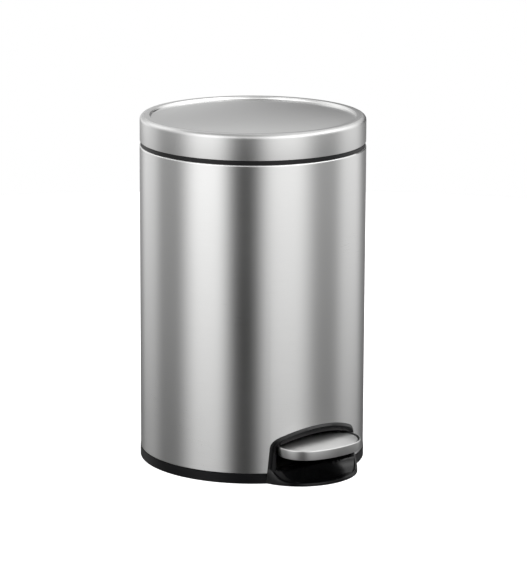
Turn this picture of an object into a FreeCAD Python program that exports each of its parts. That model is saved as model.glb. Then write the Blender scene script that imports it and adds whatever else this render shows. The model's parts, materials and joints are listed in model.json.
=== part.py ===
"""Round pedal bin of brushed steel with a hinged lid, a foot pedal, a push rod and a lift-out bucket.

Millimetres. +Z is up, and the origin is on the can's axis at floor level. The pedal points towards -Y and
the lid's hinge is at +Y, so the bin is symmetric about the plane X = 0.
"""
import FreeCAD, Part
import math
import os

import Sketcher

DIMENSIONS = {
    # steel body
    "body_radius": 125, "shell_wall": 0.6, "shell_bottom": 11.2, "shell_top": 353.4,
    "shell_roll": 1.6, "shell_flange": 3.6, "notch_half": 13, "notch_low": 336,
    # base pan and the ring that it stands on
    "base_radius": 125.4, "base_bottom": 0.3, "base_wall": 2.4, "base_floor": 3, "floor_thick": 2.5,
    "plug_radius": 121, "plug_top": 22, "foot_ring_width": 6, "rib_width": 2, "rib_height": 6,
    "tower_half": 9, "tower_rise": 7,
    # ring between body and lid
    "ring_radius": 124, "ring_top": 357.9, "ring_bottom": 338, "collar_radius": 119.3,
    "seat_radius": 112.8, "seat_height": 346, "ring_wall": 2.4,
    # lid
    "lid_radius": 124.8, "lid_bottom": 358.3, "lid_top": 386.5, "lid_wall": 0.7, "lid_round": 2.4,
    "lid_ring_inner": 114, "lid_ring_slope": 0.7, "disc_radius": 112.6, "disc_drop": 2.2,
    "liner_radius": 123.9, "liner_plate": 380.8, "liner_wall": 2, "lip_radius": 118.7, "lip_low": 354.6,
    # hinge
    "hinge_back": 131, "hinge_height": 366, "pin_radius": 2.5, "running_gap": 0.05, "knuckle_radius": 7,
    "housing_half": 35, "housing_back": 140, "housing_low": 318, "housing_high": 356,
    "roof_low": 374, "roof_high": 380, "cheek_inner": 22, "cheek_outer": 27.7, "ear_inner": 28.3,
    "lid_angle": 85, "lug_near": 3, "lug_thick": 5, "lug_wall": 2.2,
    # push rod
    "rod_back": 120.5, "rod_radius": 1.75, "rod_bend": 4, "rod_slack": 0.9, "foot_radius": 3.2,
    "foot_gap": 0.3, "foot_sleeve": 10,
    # pedal
    "pedal_top": 42, "pedal_skirt": 11, "pedal_front": 157, "pedal_half": 50.5, "front_arc": 100,
    "corner_arc": 32, "side_end": 118, "rear_arc": 1.5, "rear_step": 4.2, "pedal_rear": 104,
    "cap_wall": 1, "cap_round": 1.4, "dome_radius": 140, "dome_top": 48, "dome_forward": 114,
    "dome_inset": 2.6,
    "pivot_forward": 35, "pivot_height": 23, "axle_radius": 3, "lever_half": 11, "lever_thick": 2.5,
    "lever_top": 30, "lever_end": 121, "shoe_wall": 1.5, "hub_half": 20, "tower_inner": 21, "tower_outer": 27,
    # pedal housing: surround on the body and the foot under the pedal
    "surround_proud": 2, "surround_half": 61.2, "surround_shoulder": 57.8, "shoulder_height": 40,
    "surround_corner": 15, "corner_inset": 10, "surround_top": 61, "arch_radius": 125, "surround_lap": 2.6,
    "neck_depth": 4, "slot_half": 51.6, "slot_low": 15.5, "slot_side_top": 39, "slot_arch_top": 52.2,
    "slot_corner_inset": 5.2, "slot_corner": 6, "foot_front": 152, "foot_arc": 70, "foot_corner": 60,
    "foot_half": 63, "foot_top": 18, "foot_lip": 4, "foot_ramp": 20, "foot_ramp_start": 134,
    "foot_wall": 3.6, "foot_floor": 2.2, "foot_sweep": 16, "tab_half": 5, "tab_inset": 2,
    # bucket
    "bucket_top_radius": 111.3, "bucket_low_radius": 104, "bucket_bottom": 62, "bucket_wall": 1.8,
    "bucket_rim_radius": 115, "rim_gap": 0.3, "rim_thick": 2.2, "grip_half": 22, "grip_height": 12,
    # fasteners and small fittings
    "screw_radius": 1.5, "screw_head_radius": 3, "screw_head": 1.8, "screw_bite": 5, "rivet_head": 1.2,
    "clip_thick": 1.5, "plate_half": 31, "plate_thick": 1.2, "bracket_thick": 2.8, "guide_half": 8,
    "guide_height": 10,
}


class Size:
    """A length with its value and the spreadsheet expression that gives it."""

    def __init__(self, value, text):
        self.value = float(value)
        self.text = text

    def join(self, other, sign, value):
        return Size(value, "(%s %s %s)" % (self.text, sign, words(other)))

    def __add__(self, other):
        return self.join(other, "+", self.value + number(other))

    def __sub__(self, other):
        return self.join(other, "-", self.value - number(other))

    def __mul__(self, other):
        return self.join(other, "*", self.value * number(other))

    def __truediv__(self, other):
        return self.join(other, "/", self.value / number(other))

    def __neg__(self):
        return Size(-self.value, "(0 - %s)" % self.text)


def number(size):
    return size.value if isinstance(size, Size) else float(size)


def words(size):
    return size.text if isinstance(size, Size) else repr(float(size))


ZERO = Size(0, "0")


def plain(value):
    """A small detail's own size, which no other size depends on."""
    return Size(value, repr(value))


def tangent(angle):
    return Size(math.tan(math.radians(angle.value)), "tan(%s)" % angle.text)


def cosine(angle):
    return Size(math.cos(math.radians(angle.value)), "cos(%s)" % angle.text)


def root(size):
    return Size(math.sqrt(size.value), "sqrt(%s)" % size.text)


class Dimensions:
    """Reads the driving dimensions by name, each as a Size bound to its spreadsheet cell."""

    def __init__(self, document):
        sheet = document.addObject("Spreadsheet::Sheet", "dims")
        for row, (name, value) in enumerate(DIMENSIONS.items(), start=1):
            sheet.set("A%d" % row, name.replace("_", " "))
            sheet.set("B%d" % row, str(value))
            sheet.setAlias("B%d" % row, name)
        document.recompute()

    def __getattr__(self, name):
        return Size(DIMENSIONS[name], "dims." + name)


doc = FreeCAD.newDocument("pedal_bin")
d = Dimensions(doc)


def bind(item, prop, size):
    """Sets a property, by expression where the size comes from the sheet."""
    item.setExpression(prop, words(size))


def put(item, x=0, y=0, z=0):
    for axis, size in (("x", x), ("y", y), ("z", z)):
        bind(item, "Placement.Base." + axis, size)
    return item


def box(name, x, y, z):
    """A block between pairs of coordinates along X, Y and Z."""
    item = doc.addObject("Part::Box", name)
    for prop, (low, high) in (("Length", x), ("Width", y), ("Height", z)):
        bind(item, prop, high - low)
    return put(item, x[0], y[0], z[0])


def cylinder(name, radius, height, x=0, y=0, z=0, turn=None):
    """A cylinder from (x, y, z) along +Z, or along the axis that turn takes +Z to."""
    item = doc.addObject("Part::Cylinder", name)
    bind(item, "Radius", radius)
    bind(item, "Height", height)
    if turn:
        item.Placement.Rotation = FreeCAD.Rotation(FreeCAD.Vector(*turn), 90)
    return put(item, x, y, z)


ALONG_X = (0, 1, 0)
ALONG_MINUS_Y = (1, 0, 0)


def attached_sketch(body, plane, offset):
    sketch = body.newObject("Sketcher::SketchObject", body.Name + "_sketch")
    planes = {feature.Role: feature for feature in body.Origin.OriginFeatures}
    sketch.AttachmentSupport = [(planes[plane + "_Plane"], "")]
    sketch.MapMode = "FlatFace"
    bind(sketch, "AttachmentOffset.Base.z", offset)
    return sketch


def arc_between(start, end, radius):
    """The shorter arc from start to end; its centre is on the left of the way there if radius is positive."""
    chord = end - start
    left = FreeCAD.Vector(-chord.y, chord.x, 0).normalize()
    rise = math.sqrt(max(radius ** 2 - chord.Length ** 2 / 4, 0))
    centre = (start + end) / 2 + left * math.copysign(rise, radius)
    circle = Part.Circle(centre, FreeCAD.Vector(0, 0, 1), abs(radius))
    first, last = (start, end) if radius > 0 else (end, start)
    angles = [math.atan2(p.y - centre.y, p.x - centre.x) for p in (first, last)]
    return Part.ArcOfCircle(circle, angles[0], angles[1])


def outline(body, plane, points, offset=0):
    """A closed sketch through points (a, b) or (a, b, radius); a third value makes an arc to the next one."""
    sketch = attached_sketch(body, plane, offset)
    count = len(points)
    places = [FreeCAD.Vector(number(p[0]), number(p[1]), 0) for p in points]
    ends = []
    for index, point in enumerate(points):
        start, end = places[index], places[(index + 1) % count]
        if len(point) == 3:
            radius = number(point[2])
            sketch.addGeometry(arc_between(start, end, radius))
            ends.append((1, 2) if radius > 0 else (2, 1))
        else:
            sketch.addGeometry(Part.LineSegment(start, end))
            ends.append((1, 2))
    for index in range(count):
        following = (index + 1) % count
        sketch.addConstraint(
            Sketcher.Constraint("Coincident", index, ends[index][1], following, ends[following][0])
        )
    for index, point in enumerate(points):
        for kind, size in (("DistanceX", point[0]), ("DistanceY", point[1])):
            rule = Sketcher.Constraint(kind, -1, 1, index, ends[index][0], number(size))
            place = sketch.addConstraint(rule)
            if isinstance(size, Size):
                sketch.setExpression("Constraints[%d]" % place, size.text)
        if len(point) == 3:
            rule = Sketcher.Constraint("Radius", index, abs(number(point[2])))
            place = sketch.addConstraint(rule)
            if isinstance(point[2], Size):
                size = point[2] if point[2].value > 0 else -point[2]
                sketch.setExpression("Constraints[%d]" % place, size.text)
    return sketch


def new_body(name):
    return doc.addObject("PartDesign::Body", name)


def turned(name, points):
    """A solid of revolution about Z from an outline of (radius, height) points."""
    body = new_body(name)
    sketch = outline(body, "XZ", points)
    feature = body.newObject("PartDesign::Revolution", name + "_turn")
    feature.Profile = sketch
    feature.ReferenceAxis = (sketch, ["V_Axis"])
    feature.Angle = 360
    return body


def prism(name, plane, points, near, far):
    """A pad of an outline. XY runs up; XZ has (x, z) points and runs to -Y; YZ has (y, z) and runs to +X."""
    body = new_body(name)
    sketch = outline(body, plane, points, near)
    feature = body.newObject("PartDesign::Pad", name + "_pad")
    feature.Profile = sketch
    bind(feature, "Length", far - near)
    return body


def rounded(body, radius, wanted):
    """Fillets the edges of a body's tip that wanted(edge) picks."""
    doc.recompute()
    base = body.Tip
    names = ["Edge%d" % (i + 1) for i, edge in enumerate(base.Shape.Edges) if wanted(edge)]
    feature = body.newObject("PartDesign::Fillet", body.Name + "_round")
    feature.Base = (base, names)
    bind(feature, "Radius", radius)
    return body


def combined(kind, name, items):
    item = doc.addObject("Part::" + kind, name)
    item.Shapes = items
    item.Refine = True
    return item


def joined(name, *items):
    return combined("MultiFuse", name, list(items))


def shared(name, *items):
    return combined("MultiCommon", name, list(items))


def group(name, items):
    """Separate solids that are one sub-part, such as a set of screws."""
    item = doc.addObject("Part::Compound", name)
    item.Links = items
    return item


def less(name, base, *tools):
    """The base with every tool cut away."""
    item = doc.addObject("Part::Cut", name)
    item.Base = base
    item.Tool = tools[0] if len(tools) == 1 else joined(name + "_tools", *tools)
    return item


def both_sides(near, far, make):
    """Calls make(name, (low, high)) for an X range on the right and for its mirror image on the left."""
    return [make("right", (near, far)), make("left", (-far, -near))]


def screw(name, x, y, seat, length, head=None):
    """A screw or rivet that points up, with its head under the height of its seat."""
    head = head or d.screw_head
    cap = cylinder(name + "_head", d.screw_head_radius, head, x, y, seat - head)
    shank = cylinder(name + "_shank", d.screw_radius, length, x, y, seat)
    return joined(name, cap, shank)


def tube(name, inner, outer, low, high):
    return turned(name, [(inner, low), (outer, low), (outer, high), (inner, high)])


# ---- body ---------------------------------------------------------------------------------------------


def arch_drop(radius, half):
    """How far an arch of that radius has fallen at half its width."""
    return radius - root(radius * radius - half * half)


def surround_outline(grow):
    """The arched front outline of the surround, as (x, z) points, grown outwards by a margin."""
    half = d.surround_half + grow
    shoulder = d.surround_shoulder + grow
    top = d.surround_top + grow
    corner_in = d.surround_shoulder - d.corner_inset
    corner_top = top - arch_drop(d.arch_radius, corner_in)
    return [
        (-half, d.base_bottom),
        (half, d.base_bottom),
        (shoulder, d.shoulder_height, d.surround_corner),
        (corner_in, corner_top, d.arch_radius),
        (ZERO, top, d.arch_radius),
        (-corner_in, corner_top, d.surround_corner),
        (-shoulder, d.shoulder_height),
    ]


def body_shell():
    """The brushed steel tube with rolled edges, the pedal's opening and the notch for the hinge's lug."""
    outer = d.body_radius
    inner = outer - d.shell_wall
    flange = outer - d.shell_flange
    skin = turned("shell_tube", [
        (flange, d.shell_bottom),
        (outer - 0.8, d.shell_bottom, plain(0.8)),
        (outer, d.shell_bottom + 0.8),
        (outer, d.shell_top - d.shell_roll, d.shell_roll),
        (outer - d.shell_roll, d.shell_top),
        (flange, d.shell_top),
        (flange, d.shell_top - d.shell_wall),
        (inner - d.shell_roll, d.shell_top - d.shell_wall, -d.shell_roll),
        (inner, d.shell_top - d.shell_wall - d.shell_roll),
        (inner, d.shell_bottom + d.shell_wall),
        (flange, d.shell_bottom + d.shell_wall),
    ])
    inset = surround_outline(-d.surround_lap)
    opening = prism("shell_opening", "XZ", inset, d.body_radius / 2, d.body_radius + 9)
    notch = box(
        "shell_notch",
        (-d.notch_half, d.notch_half),
        (d.rod_back - 8, d.hinge_back),
        (d.notch_low, d.shell_top + 1),
    )
    return less("body_shell", skin, opening, notch, *hinge_screw_bores("shell"))


def base_pan():
    """The moulded base: a visible band, a floor, a plug inside the body and the two towers of the axle."""
    inner_band = d.base_radius - d.base_wall
    plug_inner = d.plug_radius - d.base_wall
    floor_top = d.base_floor + d.floor_thick
    pan = turned("pan_turned", [
        (ZERO, d.base_floor),
        (inner_band, d.base_floor),
        (inner_band, d.base_bottom),
        (d.base_radius, d.base_bottom),
        (d.base_radius, d.shell_bottom),
        (d.plug_radius, d.shell_bottom),
        (d.plug_radius, d.plug_top),
        (plug_inner, d.plug_top),
        (plug_inner, floor_top),
        (ZERO, floor_top),
    ])
    tower_y = (-d.pivot_forward - d.tower_half, -d.pivot_forward + d.tower_half)
    tower_z = (floor_top - 0.5, d.pivot_height + d.tower_rise)
    towers = both_sides(d.tower_inner, d.tower_outer, lambda name, x: box(
        "tower_" + name, x, tower_y, tower_z))
    rib_z = (floor_top - 0.5, floor_top + d.rib_height)
    ribs = []
    for place, x in (("inner", plain(30)), ("outer", plain(60))):
        ribs += both_sides(x, x + d.rib_width, lambda name, span: box(
            "rib_%s_%s" % (place, name), span, (plain(-20), plain(100)), rib_z))
    solid = joined("pan_solid", pan, *towers, *ribs)
    half = d.surround_half + 0.3
    front_gap = shared(
        "pan_front_gap",
        box("pan_gap_block", (-half, half), (-d.body_radius - 5, plain(-60)), (plain(-1), d.plug_top + 1)),
        tube("pan_gap_ring", d.plug_radius - d.base_wall - 1, d.body_radius + 5, plain(-1), d.plug_top + 1),
    )
    axle = axle_cylinder("pan_axle_bore", d.axle_radius, -d.tower_outer - 2, d.tower_outer + 2)
    holes = [
        cylinder("pan_screw_hole_%d" % i, d.screw_radius, d.floor_thick + 2, x, y, d.base_floor - 1)
        for i, (x, y) in enumerate(housing_screw_places())
    ]
    return less("base_pan", solid, front_gap, axle, *holes)


def non_slip_ring():
    """A rubber ring under the floor that the bin stands on. It stops short of the foot in front."""
    outer = d.base_radius - d.base_wall
    half = d.surround_half + 0.8
    ring = tube("rubber_ring", outer - d.foot_ring_width, outer, ZERO, d.base_floor)
    front_y = (-d.body_radius, -d.body_radius * 0.7)
    front = box("rubber_gap", (-half, half), front_y, (plain(-1), d.base_floor + 1))
    return less("non_slip_ring", ring, front)


def top_ring():
    """The black ring on the body's rim: a visible band, a collar and the seat that the bucket hangs on."""
    ring = turned("ring_turned", [
        (d.plug_radius - d.ring_wall, d.ring_bottom),
        (d.plug_radius, d.ring_bottom),
        (d.plug_radius, d.shell_top),
        (d.ring_radius, d.shell_top),
        (d.ring_radius, d.ring_top - 0.8, plain(0.8)),
        (d.ring_radius - 0.8, d.ring_top),
        (d.collar_radius, d.ring_top),
        (d.collar_radius, d.seat_height),
        (d.seat_radius, d.seat_height),
        (d.seat_radius, d.seat_height - d.ring_wall),
        (d.plug_radius - d.ring_wall, d.seat_height - d.ring_wall),
    ])
    half = d.notch_half - 1
    notch_y = (d.seat_radius + 3, d.hinge_back)
    notch = box("ring_notch", (-half, half), notch_y, (d.ring_bottom - 1, d.ring_top + 1))
    return less("top_ring", ring, notch)


# ---- pedal housing ------------------------------------------------------------------------------------


def slot_outline():
    """The arched opening that the pedal comes out of, as (x, z) points."""
    half = d.slot_half
    corner = d.slot_corner
    arch_in = d.slot_half - d.slot_corner_inset
    arch_side = d.slot_arch_top - arch_drop(d.arch_radius, arch_in)
    return [
        (-half + corner, d.slot_low),
        (half - corner, d.slot_low, corner),
        (half, d.slot_low + corner),
        (half, d.slot_side_top, corner),
        (arch_in, arch_side, d.arch_radius),
        (ZERO, d.slot_arch_top, d.arch_radius),
        (-arch_in, arch_side, corner),
        (-half, d.slot_side_top),
        (-half, d.slot_low + corner, corner),
    ]


def tangent_arcs(front, half, large, small):
    """Where a large front arc meets a small corner arc, and where that arc reaches the full half width."""
    centre = front - large
    side_x = half - small
    gap = large - small
    reach = root(gap * gap - side_x * side_x)
    return side_x * large / gap, centre + reach * large / gap, centre + reach


def foot_outline(inset):
    """The foot from above, as (x, y) points: a front arc and two corner arcs, closed inside the body."""
    half = d.foot_half - inset
    large = d.foot_arc - inset
    small = d.foot_corner - inset
    touch_x, touch_y, side_y = tangent_arcs(d.foot_front - inset, half, large, small)
    inner_y = d.body_radius / 2
    return [
        (touch_x, -touch_y, small),
        (half, -side_y),
        (half, -inner_y),
        (-half, -inner_y),
        (-half, -side_y, small),
        (-touch_x, -touch_y, large),
        (ZERO, inset - d.foot_front, large),
    ]


def foot_solid():
    """The foot in front of the body. Its round outline has a top edge that sweeps up at both sides."""
    block = prism("foot_block", "XY", foot_outline(ZERO), d.base_bottom, d.foot_top)
    inside = cylinder("foot_inside", d.body_radius + 0.1, plain(80), 0, 0, plain(-5))
    start = -d.foot_ramp_start
    high = d.foot_lip + d.foot_ramp
    ramp = prism("foot_ramp", "YZ", [
        (start - 40, d.foot_lip),
        (start, d.foot_lip, d.foot_ramp),
        (start + d.foot_ramp, high),
        (start + d.foot_ramp, high + 10),
        (start - 40, high + 10),
    ], -d.body_radius, d.body_radius)
    return less("foot_solid", block, inside, ramp)


def scoop_tool():
    """The hollow under the pedal: it falls from the slot's lower edge to the floor of the foot."""
    floor_start = d.body_radius + 1 + d.foot_sweep
    profile = prism("scoop_profile", "YZ", [
        (-d.body_radius - 70, d.foot_floor),
        (-floor_start, d.foot_floor, d.foot_sweep),
        (-d.body_radius + 3.5, d.slot_low - 0.6),
        (-d.body_radius + 3.5, d.slot_low + 20),
        (-d.body_radius - 70, d.slot_low + 20),
    ], -d.slot_half - 4.5, d.slot_half + 4.5)
    plan = prism("scoop_plan", "XY", foot_outline(d.foot_wall), ZERO, plain(60))
    outside = tube("scoop_outside", d.body_radius - 3.5, d.body_radius + 60, plain(-2), plain(60))
    return shared("scoop_tool", profile, plan, outside)


def housing_screw_places():
    """The two screws' places as (x, y), one at each side of the slot."""
    side = d.slot_half + d.tab_inset
    return [(-side, -d.body_radius * 0.8), (side, -d.body_radius * 0.8)]


def pedal_housing():
    """One black moulding: the surround on the body, the neck through it, the foot and two screw tabs."""
    outer = d.body_radius + d.surround_proud
    face = shared(
        "surround_face",
        prism("surround_prism", "XZ", surround_outline(ZERO), d.body_radius / 2, outer + 5),
        tube("surround_band", d.body_radius + 0.1, outer, plain(-2), plain(70)),
    )
    neck = shared(
        "surround_neck",
        prism("neck_prism", "XZ", surround_outline(-d.surround_lap - 0.3), d.body_radius / 2, outer + 5),
        tube("neck_band", d.body_radius - d.neck_depth, d.body_radius + 0.4, plain(-2), plain(70)),
    )
    floor_top = d.base_floor + d.floor_thick
    half = d.tab_half
    tabs = [
        box("tab_%d" % i, (x - half, x + half), (y - 12, y + half), (floor_top, floor_top + 3))
        for i, (x, y) in enumerate(housing_screw_places())
    ]
    holes = [
        cylinder("tab_hole_%d" % i, d.screw_radius, plain(12), x, y, floor_top - 1)
        for i, (x, y) in enumerate(housing_screw_places())
    ]
    solid = joined("housing_solid", face, neck, foot_solid(), *tabs)
    slot = prism("slot_prism", "XZ", slot_outline(), d.body_radius / 2, outer + 60)
    return less("pedal_housing", solid, slot, scoop_tool(), *holes)


def housing_screws():
    """Two screws that come up through the floor into the housing's tabs."""
    length = d.floor_thick + 4
    return group("housing_screws", [
        screw("housing_screw_%d" % i, x, y, d.base_floor, length)
        for i, (x, y) in enumerate(housing_screw_places())
    ])


# ---- pedal --------------------------------------------------------------------------------------------


def pedal_outline(inset):
    """The pedal from above as (x, y) points: a wide front arc, round corners and a narrower rear."""
    half = d.pedal_half - inset
    large = d.front_arc - inset
    small = d.corner_arc - inset
    touch_x, touch_y, side_y = tangent_arcs(d.pedal_front - inset, half, large, small)
    neck = half - d.rear_step
    arc = d.rear_arc
    return [
        (touch_x, -touch_y, small),
        (half, -side_y),
        (half, -d.side_end - arc, arc),
        (half - arc, -d.side_end),
        (neck, -d.side_end),
        (neck, -d.pedal_rear),
        (-neck, -d.pedal_rear),
        (-neck, -d.side_end),
        (arc - half, -d.side_end, arc),
        (-half, -d.side_end - arc),
        (-half, -side_y, small),
        (-touch_x, -touch_y, large),
        (ZERO, inset - d.pedal_front, large),
    ]


def pedal_dome(name, inset, radius):
    """The part of a large ball that rises inside the pedal's rim."""
    plan = prism(name + "_plan", "XY", pedal_outline(inset), d.pedal_top - 3, d.dome_top + 1)
    ball = doc.addObject("Part::Sphere", name + "_ball")
    bind(ball, "Radius", radius)
    put(ball, 0, -d.dome_forward, d.dome_top - d.dome_radius)
    return shared(name, plan, ball)


def pedal_cap():
    """The pressed steel cap of the pedal: a skirt, a rounded rim and a domed top, open underneath."""
    low = d.pedal_top - d.pedal_skirt
    wall = d.cap_wall
    outside = prism("cap_outside", "XY", pedal_outline(ZERO), low, d.pedal_top)
    rounded(outside, d.cap_round, lambda edge: edge.BoundBox.ZMin > d.pedal_top.value - 0.01)
    inside = prism("cap_inside", "XY", pedal_outline(wall), low - 1, d.pedal_top - wall)
    return less(
        "pedal_cap",
        joined("cap_solid", outside, pedal_dome("cap_dome", d.dome_inset, d.dome_radius)),
        inside,
        pedal_dome("cap_hollow", d.dome_inset + wall, d.dome_radius - wall),
    )


def pedal_core():
    """The plastic core that fills the cap and stands on the lever."""
    low = d.pedal_top - d.pedal_skirt + 2.5
    plate = prism("core_plate", "XY", pedal_outline(d.cap_wall), low, d.pedal_top - d.cap_wall)
    half = d.lever_half + 4
    block = box("core_block", (-half, half), (-d.pedal_front + 18, -d.pedal_rear), (d.lever_top, low + 1))
    holes = rivet_holes("core_hole", d.lever_top - 1, d.lever_top + 4)
    return less("pedal_core", joined("core_solid", plate, block), *holes)


def rivet_places():
    return [d.pedal_rear + 8, d.pedal_rear + 26]


def rivet_holes(name, low, high):
    return [
        cylinder("%s_%d" % (name, i), d.screw_radius, high - low, 0, -place, low)
        for i, place in enumerate(rivet_places() + [d.pivot_forward])
    ]


def pedal_lever():
    """The steel strip under the bucket, from the pedal over the axle to the push rod."""
    strip = box(
        "lever_strip",
        (-d.lever_half, d.lever_half),
        (-d.pedal_front + 22, d.lever_end),
        (d.lever_top - d.lever_thick, d.lever_top),
    )
    return less("pedal_lever", strip, *rivet_holes("lever_hole", d.lever_top - 4, d.lever_top + 1))


def lever_rivets():
    """Three rivets: two hold the pedal's core on the lever, one holds the hub under it."""
    low = d.lever_top - d.lever_thick
    rivets = [
        screw("rivet_%d" % i, 0, -place, low, d.lever_thick + 4, d.rivet_head)
        for i, place in enumerate(rivet_places())
    ]
    head = cylinder("hub_rivet_head", d.screw_head_radius, d.rivet_head, 0, -d.pivot_forward, d.lever_top)
    shank = cylinder("hub_rivet_shank", d.screw_radius, d.lever_thick, 0, -d.pivot_forward, low)
    return group("lever_rivets", rivets + [joined("hub_rivet", head, shank)])


def pedal_hub():
    """The plastic bearing block under the lever, which turns on the axle."""
    low = d.pivot_height - d.axle_radius - 2
    block = box(
        "hub_block",
        (-d.hub_half, d.hub_half),
        (-d.pivot_forward - 8, -d.pivot_forward + 8),
        (low, d.lever_top - d.lever_thick),
    )
    bore = axle_cylinder("hub_bore", d.axle_radius + d.running_gap, -d.hub_half - 1, d.hub_half + 1)
    return less("pedal_hub", block, bore)


def lever_shoe():
    """The plastic shoe on the lever's rear end, which the push rod stands on."""
    half = d.lever_half + d.shoe_wall
    low = d.lever_top - d.lever_thick
    shoe_y = (d.rod_back - 10, d.lever_end + d.shoe_wall)
    shoe = box("shoe_block", (-half, half), shoe_y, (low - d.shoe_wall, d.lever_top + d.shoe_wall))
    slot_y = (d.rod_back - 12, d.lever_end)
    strip = box("shoe_slot", (-d.lever_half, d.lever_half), slot_y, (low, d.lever_top))
    return less("lever_shoe", shoe, strip)


def axle_cylinder(name, radius, low, high):
    """A cylinder about the pedal's axis between two X coordinates."""
    return cylinder(name, radius, high - low, low, -d.pivot_forward, d.pivot_height, ALONG_X)


def pedal_axle():
    """The steel axle of the pedal, held in the base's two towers."""
    return axle_cylinder("pedal_axle", d.axle_radius, -d.tower_outer - 3, d.tower_outer + 3)


def axle_clips():
    """Push-on clips that keep the axle in its towers."""
    def clip(name, x):
        disc = axle_cylinder("clip_disc_" + name, d.axle_radius + 3, x[0], x[1])
        bore = axle_cylinder("clip_bore_" + name, d.axle_radius, x[0] - 1, x[1] + 1)
        return less("axle_clip_" + name, disc, bore)

    return group("axle_clips", both_sides(d.tower_outer, d.tower_outer + d.clip_thick, clip))


# ---- push rod -----------------------------------------------------------------------------------------


def hook_height():
    """Height of the rod's hook while the lid is shut: half the lid's angle below the hinge pin."""
    return d.hinge_height - (d.hinge_back - d.rod_back) * tangent(d.lid_angle / 2)


def rod_start():
    return d.lever_top + d.shoe_wall + d.foot_gap + d.foot_radius


def fix(sketch, rule, size):
    """Adds a constraint whose value is bound to a size."""
    place = sketch.addConstraint(rule)
    sketch.setExpression("Constraints[%d]" % place, size.text)


def fix_point(sketch, point, across, up):
    """Holds a point of the sketch's first line or circle: 1 is its start, 2 its end and 3 its centre."""
    fix(sketch, Sketcher.Constraint("DistanceX", -1, 1, 0, point, across.value), across)
    fix(sketch, Sketcher.Constraint("DistanceY", -1, 1, 0, point, up.value), up)


def push_rod():
    """The steel wire that lifts the lid, with a hook bent sideways at its top."""
    bend = d.rod_bend
    top = hook_height()
    hook_end = d.lug_near + d.lug_thick + 3
    stem = cylinder("rod_stem", d.rod_radius, top - bend - rod_start(), 0, d.rod_back, rod_start())
    body = new_body("rod_elbow_body")
    section = attached_sketch(body, "XY", top - bend)
    section.addGeometry(Part.Circle(FreeCAD.Vector(0, 0, 0), FreeCAD.Vector(0, 0, 1), d.rod_radius.value))
    fix_point(section, 3, ZERO, d.rod_back)
    fix(section, Sketcher.Constraint("Radius", 0, d.rod_radius.value), d.rod_radius)
    axis = attached_sketch(body, "YZ", bend)
    axis.addGeometry(Part.LineSegment(FreeCAD.Vector(0, 0, 0), FreeCAD.Vector(10, 0, 0)))
    fix_point(axis, 1, d.rod_back, top - bend)
    fix_point(axis, 2, d.rod_back + 10, top - bend)
    elbow = body.newObject("PartDesign::Revolution", "rod_elbow")
    elbow.Profile = section
    elbow.ReferenceAxis = (axis, ["Edge1"])
    elbow.Angle = 90
    hook = cylinder("rod_hook", d.rod_radius, hook_end - bend, bend, d.rod_back, top, ALONG_X)
    return joined("push_rod", stem, body, hook)


def rod_clip():
    """The push-on washer that keeps the hook in the lid's lug."""
    start = d.lug_near + d.lug_thick + 1.2
    thick = d.clip_thick
    disc = cylinder("rod_clip_disc", d.rod_radius + 2, thick, start, d.rod_back, hook_height(), ALONG_X)
    bore = cylinder("rod_clip_bore", d.rod_radius, thick + 2, start - 1, d.rod_back, hook_height(), ALONG_X)
    return less("rod_clip", disc, bore)


def rod_foot():
    """The plastic cap with a round end that the rod stands in."""
    sleeve = rod_start() + d.foot_sleeve
    body = turned("rod_foot", [
        (ZERO, rod_start() - d.foot_radius, d.foot_radius),
        (d.foot_radius, rod_start()),
        (d.foot_radius, sleeve),
        (d.rod_radius, sleeve),
        (d.rod_radius, rod_start()),
        (ZERO, rod_start()),
    ])
    bind(body, "Placement.Base.y", d.rod_back)
    return body


def rod_guide(name, height):
    """A clip on the inside of the body that the rod runs in."""
    half = d.guide_half
    top = height + d.guide_height
    block = box(name + "_block", (-half, half), (d.rod_back - 5, d.body_radius), (height, top))
    wall = cylinder(name + "_wall", d.body_radius - d.shell_wall, d.guide_height * 3, 0, 0, height - 10)
    bore = cylinder(name + "_bore", d.rod_radius + 0.3, d.guide_height * 3, 0, d.rod_back, height - 10)
    return less(name, shared(name + "_fit", block, wall), bore)


# ---- hinge --------------------------------------------------------------------------------------------


def hinge_cylinder(name, radius, low, high):
    """A cylinder about the hinge axis between two X coordinates."""
    return cylinder(name, radius, high - low, low, d.hinge_back, d.hinge_height, ALONG_X)


def knuckle(name, x, low, high):
    """An eye round the hinge pin, on a stem between two heights."""
    stem_y = (d.hinge_back - d.knuckle_radius, d.hinge_back + d.knuckle_radius)
    stem = box(name + "_stem", x, stem_y, (low, high))
    return joined(name, stem, hinge_cylinder(name + "_eye", d.knuckle_radius, *x))


def hinge_housing():
    """The black hinge housing on the back of the body, with two cheeks that hold the pin."""
    outer = d.housing_half
    front = d.body_radius - 12
    block = box("housing_block", (-outer, outer), (front, d.housing_back), (d.housing_low, d.housing_high))
    cheeks = both_sides(d.cheek_inner, d.cheek_outer, lambda name, x: knuckle(
        "cheek_" + name, x, d.housing_high - 2, d.hinge_height))
    solid = joined("hinge_housing_solid", block, *cheeks)
    can = cylinder("housing_can", d.body_radius + 0.05, plain(60), 0, 0, d.housing_low - 5)
    back = d.housing_back - 3
    half = d.cheek_inner - 2
    cavity = box("housing_cavity", (-half, half), (front, back), (d.notch_low, d.hinge_height))
    relief_z = (d.housing_high - 4, d.housing_high + 1)
    relief = box("housing_relief", (-outer - 1, outer + 1), (back - 3, d.housing_back + 1), relief_z)
    bore = hinge_cylinder("housing_pin_bore", d.pin_radius, -outer, outer)
    return less("hinge_housing", solid, can, cavity, relief, bore, *hinge_screw_bores("housing"))


def hinge_screw_side():
    return d.cheek_outer - 4


def hinge_screw_places():
    """The four screws' places as (x, z)."""
    side = hinge_screw_side()
    heights = (d.housing_low + 7, d.housing_low + 15.5)
    return [(x, height) for height in heights for x in (-side, side)]


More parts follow.
